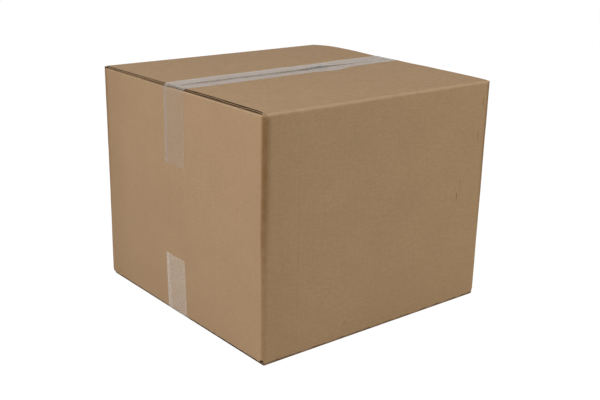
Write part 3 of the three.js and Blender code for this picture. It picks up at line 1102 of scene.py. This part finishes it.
def marks_and_painted_light(tree, colour, place):
    """What goes on the liner: painted shade by the upright folds, partly crushed liner, painted rim
    highlights, painted foot shadow and the marks.
    """
    patchy = noise(tree, place, PATCH_SCALE, 3)
    # Painted shade beside the upright folds, partly the darker crushed liner there
    tint = maths(tree, "MULTIPLY", attribute(tree, "fold_shade"), ramp(tree, patchy, 0.3, 0.6, 0.75, 1.0))
    colour = mix_colour(tree, tint, colour, KRAFT_FOLD_SHADE)
    # Painted highlight: paler along the folds at the rims
    highlight_distance = maths(tree, "ADD", attribute(tree, "to_highlit_fold"), ramp(tree, patchy, 0.3, 0.7, -1 * MM, 1 * MM))
    colour = mix_colour(tree, ramp(tree, highlight_distance, 1.5 * MM, 4 * MM, 0.45, 0.0), colour, KRAFT_HIGHLIGHT)
    # Painted shadow: darker at the very foot of the panels, where the box stands on the floor
    height = add_node(tree, "ShaderNodeSeparateXYZ", {0: place}).outputs["Z"]
    foot_shadow = maths(tree, "ADD", height, ramp(tree, patchy, 0.3, 0.7, -1.2 * MM, 1.2 * MM))
    colour = mix_colour(tree, ramp(tree, foot_shadow, 3 * MM, 5 * MM, 0.9, 0.0), colour, STAIN_AND_FOOT_SHADOW)
    for middle, half, strength in FRONT_MARKS:
        colour = mix_colour(tree, mark(tree, place, middle, half, strength), colour, STAIN_AND_FOOT_SHADOW)
    return colour


def kraft_material():
    """The brown liner of the board."""
    material, tree, shader = new_material("kraft_liner")
    place = place_in_space(tree)
    cloud = noise(tree, place, CLOUD_SCALE, 4)
    grain = noise(tree, place, GRAIN_SCALE, 3, 0.7)
    fibre = noise(tree, stretched(tree, place, FIBRE_SCALES), 1.0, 4, 0.65)
    turns = maths(tree, "MULTIPLY", attribute(tree, "along_sheet"), 2 * math.pi / FLUTE_PITCH)
    flute = maths(tree, "SINE", turns)
    colour = marks_and_painted_light(tree, liner_colour(tree, cloud, grain, fibre, flute), place)
    tree.links.new(colour, shader.inputs["Base Color"])
    height = maths(tree, "ADD", maths(tree, "MULTIPLY", grain, 0.5), maths(tree, "MULTIPLY", fibre, 0.5))
    height = maths(tree, "ADD", height, maths(tree, "MULTIPLY", flute, 0.35))
    add_bump(tree, shader, height, 0.35, 0.12 * MM)
    shader.inputs["Roughness"].default_value = KRAFT_ROUGHNESS
    shader.inputs["Specular IOR Level"].default_value = KRAFT_SPECULAR
    return material


def raw_edge_material():
    """Cut board: pale fibres mixed with painted shade where it is frayed, and painted shade in the open
    flutes between the liners elsewhere.
    """
    material, tree, shader = new_material("raw_board_edge")
    speckle = noise(tree, place_in_space(tree), SPECKLE_SCALE, 4, 0.7)
    frayed_and_shade = mix_colour(tree, ramp(tree, speckle, 0.35, 0.65), RAW_SHADED, RAW_FRAYED)
    hollow_shade = mix_colour(tree, ramp(tree, speckle, 0.35, 0.7), GROOVE_SHADE_DARK, GROOVE_SHADE_PALE)
    colour = mix_colour(tree, attribute(tree, "frayed"), hollow_shade, frayed_and_shade)
    tree.links.new(colour, shader.inputs["Base Color"])
    add_bump(tree, shader, speckle, 0.6, 0.2 * MM)
    shader.inputs["Roughness"].default_value = EDGE_ROUGHNESS
    shader.inputs["Specular IOR Level"].default_value = EDGE_SPECULAR
    return material


def tape_material(name, colour):
    """Clear film: unevenly hazy with fine lengthwise streaks, denser along both edges; painted sheen and
    painted shade.
    """
    material, tree, shader = new_material(name)
    across = attribute(tree, "across")
    dark = attribute(tree, "shade")
    over_width = add_node(tree, "ShaderNodeCombineXYZ", {"X": across}).outputs[0]
    streak = noise(tree, over_width, STREAKS_ACROSS, 4, 0.6)
    cloud = noise(tree, place_in_space(tree), FILM_CLOUD_SCALE, 3)
    uneven = maths(tree, "ADD", ramp(tree, streak, 0.3, 0.7, 0.8, 1.2),
                   ramp(tree, cloud, 0.3, 0.7, -0.1, 0.1))
    alpha = maths(tree, "MULTIPLY", attribute(tree, "haze_and_sheen"), uneven)
    alpha = maths(tree, "ADD", alpha, ramp(tree, across, *FAR_EDGE_HAZE))
    alpha = maths(tree, "ADD", alpha, ramp(tree, across, *NEAR_EDGE_HAZE))
    # Painted shade: denser, darker film over the widest part of the seam
    alpha = maths(tree, "ADD", alpha, maths(tree, "MULTIPLY", dark, PAINTED_SHADE_ALPHA))
    tree.links.new(alpha, shader.inputs["Alpha"])
    tree.links.new(mix_colour(tree, dark, colour, FILM_SHADE), shader.inputs["Base Color"])
    add_bump(tree, shader, streak, 0.08, 0.05 * MM)
    shader.inputs["Roughness"].default_value = FILM_ROUGHNESS
    shader.inputs["IOR"].default_value = FILM_IOR
    return material


# The studio

def white_to_the_eye(tree):
    """1 for what the camera, a reflection or clear film sees directly, 0 for light."""
    path = add_node(tree, "ShaderNodeLightPath")
    seen = maths(tree, "MAXIMUM", path.outputs["Is Camera Ray"], path.outputs["Is Glossy Ray"])
    return maths(tree, "MAXIMUM", seen, path.outputs["Is Transmission Ray"])


def build_world():
    """Even light from all round, which the camera sees as white."""
    world = bpy.data.worlds.new("studio")
    world.use_nodes = True
    tree = world.node_tree
    background = tree.nodes["Background"]
    background.inputs["Color"].default_value = (1, 1, 1, 1)
    level = ramp(tree, white_to_the_eye(tree), 0, 1, WORLD_STRENGTH, 1.0)
    tree.links.new(level, background.inputs["Strength"])
    bpy.context.scene.world = world


def build_floor():
    """A pale floor that glows almost to white and keeps the box's shadow."""
    size = FLOOR_REACH
    z = cad_box[0][2]
    corners = [(-size, -size, z), (size, -size, z), (size, size, z), (-size, size, z)]
    material, tree, shader = new_material("studio_floor")
    shader.inputs["Base Color"].default_value = FLOOR_GREY
    shader.inputs["Roughness"].default_value = FLOOR_ROUGHNESS
    glow = add_node(tree, "ShaderNodeEmission", {"Strength": FLOOR_GLOW})
    share = ramp(tree, white_to_the_eye(tree), 0, 1, 0.0, FLOOR_GLOW_SHARE)
    mixed = add_node(tree, "ShaderNodeMixShader", {0: share, 1: shader.outputs[0], 2: glow.outputs[0]})
    tree.links.new(mixed.outputs[0], tree.nodes["Material Output"].inputs["Surface"])
    floor = mesh_object("studio_floor", corners, [[0, 1, 2, 3]], [material])


def area_light(name, place, target, size, watts, colour):
    """A square soft lamp."""
    lamp = bpy.data.lights.new(name, "AREA")
    lamp.shape = "RECTANGLE"
    lamp.size = size
    lamp.size_y = size
    lamp.color = colour
    lamp.energy = watts
    made = bpy.data.objects.new(name, lamp)
    made.location = place
    made.rotation_euler = (Vector(target) - Vector(place)).to_track_quat("-Z", "Y").to_euler()
    bpy.context.scene.collection.objects.link(made)


def build_camera():
    """The photo's viewpoint."""
    data = bpy.data.cameras.new("camera")
    data.sensor_width = 36
    data.lens = CAMERA_LENS
    forward = Vector((math.sin(CAMERA_AZIMUTH) * math.cos(CAMERA_DROP),
                      math.cos(CAMERA_AZIMUTH) * math.cos(CAMERA_DROP), -math.sin(CAMERA_DROP)))
    level_right = forward.cross(Vector((0, 0, 1))).normalized()
    level_up = level_right.cross(forward)
    right = level_right * math.cos(CAMERA_ROLL) + level_up * math.sin(CAMERA_ROLL)
    up = level_up * math.cos(CAMERA_ROLL) - level_right * math.sin(CAMERA_ROLL)
    turn = Matrix((right, up, -forward)).transposed()
    camera = bpy.data.objects.new("camera", data)
    camera.matrix_world = Matrix.Translation(CAMERA_PLACE) @ turn.to_4x4()
    bpy.context.scene.collection.objects.link(camera)
    bpy.context.scene.camera = camera


build_camera()
kraft = kraft_material()
raw_edge = raw_edge_material()
top_film = tape_material("clear_tape_film", FILM_COLOUR)
bottom_film = tape_material("paler_tape_film", FILM_PALE)

carton = build_carton(kraft, raw_edge)
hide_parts("carton")
medium = build_medium(raw_edge)
top_tape = build_tape("top_tape_film", "top_tape", 1, top_film, TOP_TAILS, TOP_TAIL_HAZE, top_sway)
bottom_tape = build_tape(
    "bottom_tape_film", "bottom_tape", -1, bottom_film, BOTTOM_TAILS, BOTTOM_TAIL_HAZE, bottom_sway)

for piece, slot in ((carton, "kraft_board"), (medium, "kraft_board"),
                    (top_tape, "clear_tape"), (bottom_tape, "clear_tape")):
    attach(piece, "root")

build_world()
build_floor()
for lamp in LAMPS:
    area_light(*lamp)

bpy.context.scene.view_settings.view_transform = "Standard"
